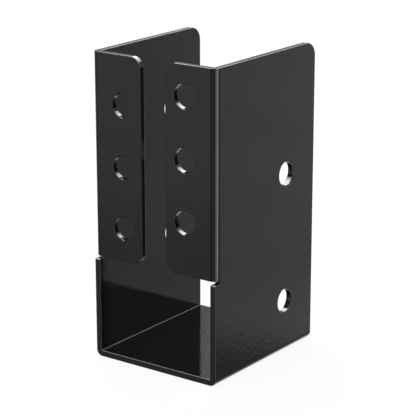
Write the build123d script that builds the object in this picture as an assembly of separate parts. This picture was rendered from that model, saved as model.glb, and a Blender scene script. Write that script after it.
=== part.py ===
"""U bracket folded from one sheet, to hold the end of a timber between its two side walls.

The sheet makes a base, two side walls and, at the front, two flanges that fold inwards.
Below each flange a relief slot frees the fold from the lower front part of its wall.
The origin is on the underside of the base, in the middle of its width and its depth.
+X runs across the bracket, -Y is its front, where the flanges are, and +Z is up.
"""
from build123d import *
from math import isclose
import os

# Driving dimensions, in millimetres: the sheet and its folds
sheet_thickness = 4.25
inner_bend_radius = 0.3
edge_radius = 0.4

# The channel, whose depth runs from the front of the base to the back
inside_width = 90.5
bracket_depth = 113.3
bracket_height = 209.6

# The flanges at the front
flange_width = 39.7
flange_height = 138.4
flange_setback = 0.4
flange_corner_radius = 8.0

# The side walls' corners, at the top of the back and under the relief slot
wall_corner_radius = 10.0
lower_corner_radius = 1.2

# The relief slot under each flange
relief_height = 2.1
relief_corner_radius = 0.5

# The bolt holes, all of one diameter, with the burr taken off both rims
hole_diameter = 16.2
rim_chamfer = 0.35
flange_hole_count = 3
flange_hole_spacing = 41.3
flange_hole_inset = 24.65
right_top_hole_drop = 20.4
left_top_hole_drop = 32.9
wall_hole_count = 2
wall_hole_spacing = 88.9
wall_hole_inset = 33.1
right_low_hole_height = 36.75
left_low_hole_height = 69.25

# What follows from them
middle_bend_radius = inner_bend_radius + sheet_thickness / 2
outside = inside_width / 2 + sheet_thickness
wall_middle = outside - sheet_thickness / 2
back = bracket_depth / 2
front = -back
flange_middle = front + flange_setback + sheet_thickness / 2
flange_edge = outside - flange_width
flange_bottom = bracket_height - flange_height
relief_bottom = flange_bottom - relief_height
bend_end = flange_middle + middle_bend_radius
relief_end = bend_end + relief_corner_radius
hole_cutter_length = 3 * sheet_thickness


def channel():
    """The base and the lower walls: a U section along the bracket's whole depth."""
    middle_line = FilletPolyline(
        (-wall_middle, flange_bottom),
        (-wall_middle, sheet_thickness / 2),
        (wall_middle, sheet_thickness / 2),
        (wall_middle, flange_bottom),
        radius=middle_bend_radius,
    )
    section = trace(middle_line, line_width=sheet_thickness)
    return extrude(Plane.XZ * section, amount=bracket_depth / 2, both=True)


def right_upper_wall():
    """The upper part of the right wall with its flange: an L section, upright."""
    middle_line = FilletPolyline(
        (wall_middle, back),
        (wall_middle, flange_middle),
        (flange_edge, flange_middle),
        radius=middle_bend_radius,
    )
    section = trace(middle_line, line_width=sheet_thickness)
    return extrude(Pos(Z=flange_bottom) * section, amount=flange_height)


def relief_slots():
    """What the relief slots leave out of both walls, with the slots' inner corners rounded."""
    slot_length = 2 * (relief_end - front)
    outline = RectangleRounded(slot_length, relief_height, relief_corner_radius)
    place = Plane.YZ * Pos(front, relief_bottom + relief_height / 2)
    return extrude(place * outline, amount=outside, both=True)


def corner_edges(bracket, through, **place):
    """The edges that cross the sheet's thickness along one axis, on both sides of the bracket."""
    edges = bracket.edges().filter_by(through)
    for name, value in place.items():
        edges = edges.filter_by(lambda edge: isclose(abs(getattr(edge.center(), name)), abs(value)))
    return edges


def round_corners(bracket):
    """Round the outline of the walls and of the flanges where its straight edges meet."""
    bracket = fillet(corner_edges(bracket, Axis.Y, X=flange_edge), flange_corner_radius)
    top_corners = corner_edges(bracket, Axis.X, Y=back, Z=bracket_height)
    bracket = fillet(top_corners, wall_corner_radius)
    low_corners = corner_edges(bracket, Axis.X, Y=front, Z=relief_bottom)
    return fillet(low_corners, lower_corner_radius)


def hole_row(count, spacing):
    """Cylinders along Y that cut a row of bolt holes, from the one at the origin upwards."""
    cutter = Cylinder(hole_diameter / 2, hole_cutter_length, rotation=(90, 0, 0))
    return Part() + [Pos(Z=spacing * number) * cutter for number in range(count)]


def flange_holes(side, top_drop):
    """The row of holes in the flange on one side, 1 for the right and -1 for the left."""
    row_height = (flange_hole_count - 1) * flange_hole_spacing
    low_hole_height = bracket_height - top_drop - row_height
    place = Pos(side * (outside - flange_hole_inset), flange_middle, low_hole_height)
    return place * hole_row(flange_hole_count, flange_hole_spacing)


def wall_holes(side, low_hole_height):
    """The row of holes in the wall on one side, 1 for the right and -1 for the left."""
    place = Pos(side * wall_middle, back - wall_hole_inset, low_hole_height)
    return place * Rot(Z=90) * hole_row(wall_hole_count, wall_hole_spacing)


def bolt_holes():
    """What all the bolt holes leave out. Each side has its own heights, so that no bolts meet."""
    in_flanges = flange_holes(1, right_top_hole_drop) + flange_holes(-1, left_top_hole_drop)
    in_walls = wall_holes(1, right_low_hole_height) + wall_holes(-1, left_low_hole_height)
    return in_flanges + in_walls


def square_edges(bracket):
    """The edges where two faces meet squarely: there the sheet's cuts meet its two surfaces."""
    normals = {}
    for face in bracket.faces():
        for edge in face.edges():
            normals.setdefault(edge, []).append(face.normal_at(edge @ 0.5))
    pairs = {edge: pair for edge, pair in normals.items() if len(pair) == 2}
    return [edge for edge, pair in pairs.items() if abs(pair[0].dot(pair[1])) < 0.5]


def u_bracket():
    """The folded sheet: cut to its outline, its edges rounded, then drilled and deburred."""
    wall = right_upper_wall()
    folded = channel() + wall + mirror(wall, about=Plane.YZ)
    outlined = round_corners(folded - relief_slots())
    rounded = fillet(square_edges(outlined), edge_radius)
    drilled = rounded - bolt_holes()
    return chamfer(square_edges(drilled), rim_chamfer)


def main():
    os.makedirs("parts", exist_ok=True)
    export_step(u_bracket(), "parts/u_bracket.step")


if __name__ == "__main__":
    main()
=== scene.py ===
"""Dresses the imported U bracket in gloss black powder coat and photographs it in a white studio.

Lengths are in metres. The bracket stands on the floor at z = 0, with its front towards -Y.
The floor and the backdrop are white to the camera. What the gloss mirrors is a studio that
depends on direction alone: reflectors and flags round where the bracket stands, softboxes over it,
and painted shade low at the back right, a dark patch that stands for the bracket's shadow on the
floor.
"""
import math

import bpy
from mathutils import Euler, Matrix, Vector


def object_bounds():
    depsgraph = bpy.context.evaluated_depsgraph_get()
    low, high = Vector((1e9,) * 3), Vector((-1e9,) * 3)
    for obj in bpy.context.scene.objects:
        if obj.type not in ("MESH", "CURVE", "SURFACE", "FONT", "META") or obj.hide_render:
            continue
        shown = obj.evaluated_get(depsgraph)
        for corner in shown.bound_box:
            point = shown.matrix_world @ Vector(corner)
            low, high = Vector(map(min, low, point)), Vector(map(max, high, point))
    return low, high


# The camera: its angles in degrees, its distance from the middle of the bracket, and how far
# its aim is to the right of the middle and above it
CAMERA_AZIMUTH = 36.0066
CAMERA_ELEVATION = 16.4596
CAMERA_DISTANCE = 1.146683
CAMERA_LENS_MM = 147.85
CAMERA_SENSOR_MM = 36.0
AIM_RIGHT = 0.0020229
AIM_UP = -0.0056

# The powder coat. Its colour and its roughness vary between two values each, in soft clouds
COAT_DEEP = (0.0036, 0.0036, 0.0037, 1.0)
COAT_DUSTY = (0.0054, 0.0054, 0.0056, 1.0)
COAT_ROUGHNESS = (0.015, 0.04)
COAT_IOR = 1.5
CLOUD_SIZE = 0.02
CLOUD_DETAIL = 4.0
# The orange peel that it dries with: a fine one on a coarser one
PEEL_SIZE = 0.0015
PEEL_HEIGHT = 0.00003
PEEL_DETAIL = 2.0
WAVE_SIZE = 0.0035
WAVE_HEIGHT = 0.00002
WAVE_DETAIL = 1.0
# How far the coat rounds an edge, and how much rougher it gets as the rounding turns it to 90 degrees
EDGE_RADIUS = 0.0004
EDGE_EXTRA_ROUGHNESS = 0.05

# The studio that the gloss mirrors. An azimuth runs from -Y, which is 0 degrees, towards +X.
# The reflectors and flags low round the table, as (azimuth, brightness)
LOW_AROUND = [
    (-180, 0.9), (-160, 0.7), (-126, 0.8), (-108, 0.75), (-96, 0.42), (-60, 0.22),
    (-50, 0.5), (-42, 0.55), (-37, 0.66), (-32, 0.62), (-28, 0.35), (-22, 0.22),
    (0, 0.3), (6, 0.55), (12, 0.5), (18, 0.25), (30, 0.22), (40, 0.35), (50, 0.8), (66, 2.2),
    (76, 2.4), (84, 1.6), (88, 5.5), (94, 6.5), (98, 1.4), (110, 0.6), (128, 0.28), (138, 0.42),
    (149, 0.6), (157, 1.6), (166, 1.6), (180, 0.9),
]
# Those at the front fade downwards, as (elevation, share), over part of the circle
FRONT_FADE = [(-22, 0.55), (-20, 0.58), (-17.6, 0.68), (-15.4, 1.0)]
FRONT_PART = [(-110, 0), (-80, 1), (-28, 1), (-14, 0)]
# Those at the back have a slack fold across them, over the same part of the circle as the painted
# shade below them
BACK_FOLD = [(-19.8, 1.0), (-18.9, 0.86), (-17.9, 0.86), (-16.8, 1.0)]
# Painted shade under them, a dark patch that stands for the bracket's shadow on the floor: where its
# far edge is, as (azimuth, elevation)
SHADOW_EDGE = [(120, -20.0), (144.3, -20.86), (147, -21.2), (160, -22.0)]
SHADOW_PART = [(112, 0), (122, 1), (160, 1), (175, 0)]
SHADOW_BRIGHTNESS = 0.2
SHADOW_SOFTNESS = 0.12
# The walls of the room, which take over from the reflectors between two elevations
ROOM_AROUND = [
    (-180, 0.55), (-150, 0.5), (-138, 0.48), (-110, 0.4), (-60, 0.4), (0, 0.6), (90, 1.0),
    (140, 0.6), (180, 0.55),
]
ROOM_FADE = [(8, 1.2), (13, 1.1), (18, 0.95), (24, 0.95)]
ROOM_FROM = (-10.5, -6)
# The softboxes overhead: from which elevation they start, and how bright they are, by azimuth
TOP_FROM = [
    (-180, 33), (-165, 28), (-150, 25.5), (-138, 25), (-128, 40), (-118, 48), (-60, 48), (-52, 28),
    (-44, 28), (-30, 45), (0, 40), (112, 40), (118, 30), (134, 28), (146, 33), (180, 33),
]
TOP_AROUND = [
    (-180, 8), (-160, 9), (-50, 9), (-38, 4), (-20, 3), (90, 3), (112, 8), (120, 14), (132, 12),
    (142, 3), (160, 6), (180, 8),
]
TOP_SOFTNESS = 3.0
# They are brighter still above these elevations, over part of the circle
HIGH_FROM = (49, 53)
HIGH_PART = [(-180, 1), (-70, 1), (-50, 0), (138, 0), (150, 1), (180, 1)]
HIGH_EXTRA = 6.0
# The dim ceiling above them
CEILING_FROM = (62, 72)
CEILING_BRIGHTNESS = 0.7

# The unevenness of the cloth that the studio is hung with, whose size is in radians
CLOTH_SIZE = 0.02
CLOTH_DETAIL = 1.0
LOW_UNEVENNESS = 0.35
ROOM_UNEVENNESS = 1.6

# The light on matt surfaces, and the floor, which is part white paper and part glow to the camera
AMBIENT_BRIGHTNESS = 0.75
KEY_PLACE = (-0.5, 0.5, 1.2)
KEY_SIZE = (0.6, 0.6)
KEY_POWER = 4.0
FLOOR_HALF = 4.0
FLOOR_WHITE = 0.95
FLOOR_GLOW = 1.05
FLOOR_GLOW_SHARE = 0.85


def operate(tree, kind, operation, *values):
    """Add a Math or Vector Math node with its inputs linked or set, and return the node."""
    node = tree.nodes.new(kind)
    node.operation = operation
    for socket, value in zip(node.inputs, values):
        if isinstance(value, bpy.types.NodeSocket):
            tree.links.new(value, socket)
        else:
            socket.default_value = value
    return node


def calc(tree, operation, *values, clamp=False):
    """The result of one step of arithmetic, kept between 0 and 1 if it is clamped."""
    node = operate(tree, "ShaderNodeMath", operation, *values)
    node.use_clamp = clamp
    return node.outputs[0]


def blend(tree, share, first, second):
    """A value that goes from the first to the second as the share goes from 0 to 1."""
    step = calc(tree, "SUBTRACT", second, first)
    return calc(tree, "MULTIPLY_ADD", step, share, first)


def ramp(tree, factor, stops, lowest, highest):
    """A colour ramp through (angle, value) pairs, over a factor that is 0 at the lowest angle."""
    node = tree.nodes.new("ShaderNodeValToRGB")
    tree.links.new(factor, node.inputs[0])
    elements = node.color_ramp.elements
    while len(elements) < len(stops):
        elements.new(0.5)
    for element, (angle, value) in zip(elements, stops):
        element.position = (angle - lowest) / (highest - lowest)
        element.color = (value, value, value, 1.0)
    return node.outputs[0]


def noise(tree, place, size, detail):
    """Soft noise between 0 and 1 with blotches of about the given size."""
    node = tree.nodes.new("ShaderNodeTexNoise")
    tree.links.new(place, node.inputs["Vector"])
    node.inputs["Scale"].default_value = 1 / size
    node.inputs["Detail"].default_value = detail
    return node.outputs[0]


def mirrored_studio(tree):
    """How bright the studio is in each direction, as a socket of the world's tree."""
    direction = tree.nodes.new("ShaderNodeTexCoord").outputs["Generated"]
    split = tree.nodes.new("ShaderNodeSeparateXYZ")
    tree.links.new(direction, split.inputs[0])
    x, y, z = split.outputs
    azimuth = calc(tree, "ARCTAN2", x, calc(tree, "MULTIPLY", y, -1.0))
    turn = calc(tree, "MULTIPLY_ADD", azimuth, 0.5 / math.pi, 0.5)
    height = calc(tree, "MULTIPLY_ADD", calc(tree, "ARCSINE", z), 1 / math.pi, 0.5)

    def around(stops):
        return ramp(tree, turn, stops, -180, 180)

    def upwards(stops):
        return ramp(tree, height, stops, -90, 90)

    def rising(elevations):
        """0 below the first elevation and 1 above the second."""
        return upwards(list(zip(elevations, (0, 1))))

    def height_around(stops):
        """The height, as the ramps take it, of an edge given as (azimuth, elevation) pairs."""
        return around([(angle, (elevation + 90) / 180) for angle, elevation in stops])

    def above(edge, softness):
        """1 above an edge and 0 below it, blending over a softness in degrees of elevation."""
        rise = calc(tree, "SUBTRACT", height, edge)
        return calc(tree, "MULTIPLY_ADD", rise, 180 / softness, 0.5, clamp=True)

    cloth = calc(tree, "MULTIPLY_ADD", noise(tree, direction, CLOTH_SIZE, CLOTH_DETAIL), 2.0, -1.0)

    def uneven(level, amount):
        """The level, brighter or darker by up to the amount where the cloth is."""
        return calc(tree, "MULTIPLY", level, calc(tree, "MULTIPLY_ADD", cloth, amount, 1.0))

    front_fade = blend(tree, around(FRONT_PART), 1.0, upwards(FRONT_FADE))
    low = uneven(calc(tree, "MULTIPLY", around(LOW_AROUND), front_fade), LOW_UNEVENNESS)
    low = calc(tree, "MULTIPLY", low, blend(tree, around(SHADOW_PART), 1.0, upwards(BACK_FOLD)))
    # Painted shade: below its far edge, over its part of the circle, the low level is darkened to the
    # painted shadow's brightness
    backdrop = above(height_around(SHADOW_EDGE), SHADOW_SOFTNESS)
    painted_shadow_share = calc(tree, "MULTIPLY", calc(tree, "SUBTRACT", 1.0, backdrop), around(SHADOW_PART))
    low = blend(tree, painted_shadow_share, low, SHADOW_BRIGHTNESS)

    room = uneven(calc(tree, "MULTIPLY", around(ROOM_AROUND), upwards(ROOM_FADE)), ROOM_UNEVENNESS)
    level = blend(tree, rising(ROOM_FROM), low, room)

    extra = calc(tree, "MULTIPLY", rising(HIGH_FROM), around(HIGH_PART))
    top = calc(tree, "MULTIPLY_ADD", extra, HIGH_EXTRA, around(TOP_AROUND))
    level = blend(tree, above(height_around(TOP_FROM), TOP_SOFTNESS), level, top)
    return blend(tree, rising(CEILING_FROM), level, CEILING_BRIGHTNESS)


def studio():
    """White to the camera, even light to matt surfaces, and the mirrored studio to the gloss."""
    world = bpy.data.worlds.new("studio")
    bpy.context.scene.world = world
    world.use_nodes = True
    tree = world.node_tree
    tree.nodes.clear()
    path = tree.nodes.new("ShaderNodeLightPath").outputs
    white = calc(tree, "ADD", path["Is Camera Ray"], path["Is Transmission Ray"], clamp=True)
    level = calc(tree, "MULTIPLY_ADD", path["Is Diffuse Ray"], AMBIENT_BRIGHTNESS, white)
    level = calc(tree, "MULTIPLY_ADD", path["Is Glossy Ray"], mirrored_studio(tree), level)
    background = tree.nodes.new("ShaderNodeBackground")
    background.inputs["Color"].default_value = (1.0, 1.0, 1.0, 1.0)
    tree.links.new(level, background.inputs["Strength"])
    output = tree.nodes.new("ShaderNodeOutputWorld")
    tree.links.new(background.outputs[0], output.inputs["Surface"])


def bump(tree, height, distance, normal):
    """The normal, tilted by a relief that is as high as the distance where the height is 1."""
    node = tree.nodes.new("ShaderNodeBump")
    node.inputs["Strength"].default_value = 1.0
    node.inputs["Distance"].default_value = distance
    tree.links.new(height, node.inputs["Height"])
    tree.links.new(normal, node.inputs["Normal"])
    return node.outputs[0]


def powder_coat():
    """Near-black gloss coat, with the orange peel that powder leaves as it flows out.

    The coat rounds every edge a little and lies thinner there, which makes it less glossy. Its
    colour and gloss are a little cloudy.
    """
    material = bpy.data.materials.new("black_powder_coat")
    material.use_nodes = True
    tree = material.node_tree
    shader = tree.nodes["Principled BSDF"]
    shader.inputs["IOR"].default_value = COAT_IOR
    place = tree.nodes.new("ShaderNodeTexCoord").outputs["Object"]

    cloud = noise(tree, place, CLOUD_SIZE, CLOUD_DETAIL)
    colour = tree.nodes.new("ShaderNodeMix")
    colour.data_type = "RGBA"
    tree.links.new(cloud, colour.inputs["Factor"])
    colour.inputs["A"].default_value = COAT_DEEP
    colour.inputs["B"].default_value = COAT_DUSTY
    tree.links.new(colour.outputs["Result"], shader.inputs["Base Color"])

    rounded = tree.nodes.new("ShaderNodeBevel")
    rounded.inputs["Radius"].default_value = EDGE_RADIUS
    surface = tree.nodes.new("ShaderNodeNewGeometry").outputs["Normal"]
    along = operate(tree, "ShaderNodeVectorMath", "DOT_PRODUCT", rounded.outputs[0], surface)
    edge = calc(tree, "SUBTRACT", 1.0, along.outputs["Value"], clamp=True)
    roughness = blend(tree, cloud, *COAT_ROUGHNESS)
    roughness = calc(tree, "MULTIPLY_ADD", edge, EDGE_EXTRA_ROUGHNESS, roughness)
    tree.links.new(roughness, shader.inputs["Roughness"])

    wave_relief = noise(tree, place, WAVE_SIZE, WAVE_DETAIL)
    waves = bump(tree, wave_relief, WAVE_HEIGHT, rounded.outputs[0])
    peel = bump(tree, noise(tree, place, PEEL_SIZE, PEEL_DETAIL), PEEL_HEIGHT, waves)
    tree.links.new(peel, shader.inputs["Normal"])
    return material


def coat_bracket(bracket):
    """Give the bracket its coat, in place of the material that it comes with."""
    bracket.data.materials.clear()
    bracket.data.materials.append(powder_coat())


def floor_paper():
    """White paper that glows to the camera, so that the floor is white and its shadow is faint."""
    material = bpy.data.materials.new("floor_paper")
    material.use_nodes = True
    tree = material.node_tree
    paper = tree.nodes["Principled BSDF"]
    paper.inputs["Base Color"].default_value = (FLOOR_WHITE, FLOOR_WHITE, FLOOR_WHITE, 1.0)
    paper.inputs["Roughness"].default_value = 1.0
    paper.inputs["Specular IOR Level"].default_value = 0.0
    glow = tree.nodes.new("ShaderNodeEmission")
    glow.inputs["Strength"].default_value = FLOOR_GLOW
    mix = tree.nodes.new("ShaderNodeMixShader")
    path = tree.nodes.new("ShaderNodeLightPath").outputs
    tree.links.new(calc(tree, "MULTIPLY", path["Is Camera Ray"], FLOOR_GLOW_SHARE), mix.inputs[0])
    tree.links.new(paper.outputs[0], mix.inputs[1])
    tree.links.new(glow.outputs[0], mix.inputs[2])
    tree.links.new(mix.outputs[0], tree.nodes["Material Output"].inputs["Surface"])
    return material


def floor():
    """A large square of paper at z = 0, which the gloss doesn't mirror."""
    mesh = bpy.data.meshes.new("floor")
    corners = [(-FLOOR_HALF, -FLOOR_HALF, 0), (FLOOR_HALF, -FLOOR_HALF, 0),
               (FLOOR_HALF, FLOOR_HALF, 0), (-FLOOR_HALF, FLOOR_HALF, 0)]
    mesh.from_pydata(corners, [], [(0, 1, 2, 3)])
    mesh.materials.append(floor_paper())
    plane = bpy.data.objects.new("floor", mesh)
    plane.visible_glossy = False
    bpy.context.scene.collection.objects.link(plane)


def key_light(target):
    """A soft lamp over the back left, which gives matt surfaces a side and the floor a shadow."""
    light = bpy.data.lights.new("key", "AREA")
    light.shape = "RECTANGLE"
    light.size, light.size_y = KEY_SIZE
    light.energy = KEY_POWER
    lamp = bpy.data.objects.new("key", light)
    lamp.location = KEY_PLACE
    lamp.rotation_euler = (target - Vector(KEY_PLACE)).to_track_quat("-Z", "Y").to_euler()
    lamp.visible_camera = False
    lamp.visible_glossy = False
    bpy.context.scene.collection.objects.link(lamp)


def camera(middle):
    """The photograph's camera, aimed almost at the middle of the bracket."""
    turn = Euler((math.pi / 2 - math.radians(CAMERA_ELEVATION), 0.0, math.radians(CAMERA_AZIMUTH)))
    right, up, back = (turn.to_matrix().col[i] for i in range(3))
    data = bpy.data.cameras.new("camera")
    data.lens = CAMERA_LENS_MM
    data.sensor_width = CAMERA_SENSOR_MM
    eye = bpy.data.objects.new("camera", data)
    eye.rotation_euler = turn
    eye.location = middle + back * CAMERA_DISTANCE + right * AIM_RIGHT + up * AIM_UP
    bpy.context.scene.collection.objects.link(eye)
    bpy.context.scene.camera = eye


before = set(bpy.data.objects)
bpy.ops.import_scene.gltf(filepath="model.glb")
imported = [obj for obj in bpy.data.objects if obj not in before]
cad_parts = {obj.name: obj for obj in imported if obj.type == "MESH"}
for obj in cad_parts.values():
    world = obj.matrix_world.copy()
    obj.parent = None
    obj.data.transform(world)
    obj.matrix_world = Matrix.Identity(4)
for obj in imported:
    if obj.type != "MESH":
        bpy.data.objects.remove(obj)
cad_box = [list(corner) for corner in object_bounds()]
low, high = (Vector(corner) for corner in cad_box)
middle = Vector((0.0, 0.0, (low.z + high.z) / 2))

bpy.context.scene.view_settings.view_transform = "Standard"
studio()
floor()
key_light(middle)
coat_bracket(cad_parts["u_bracket"])
camera(middle)
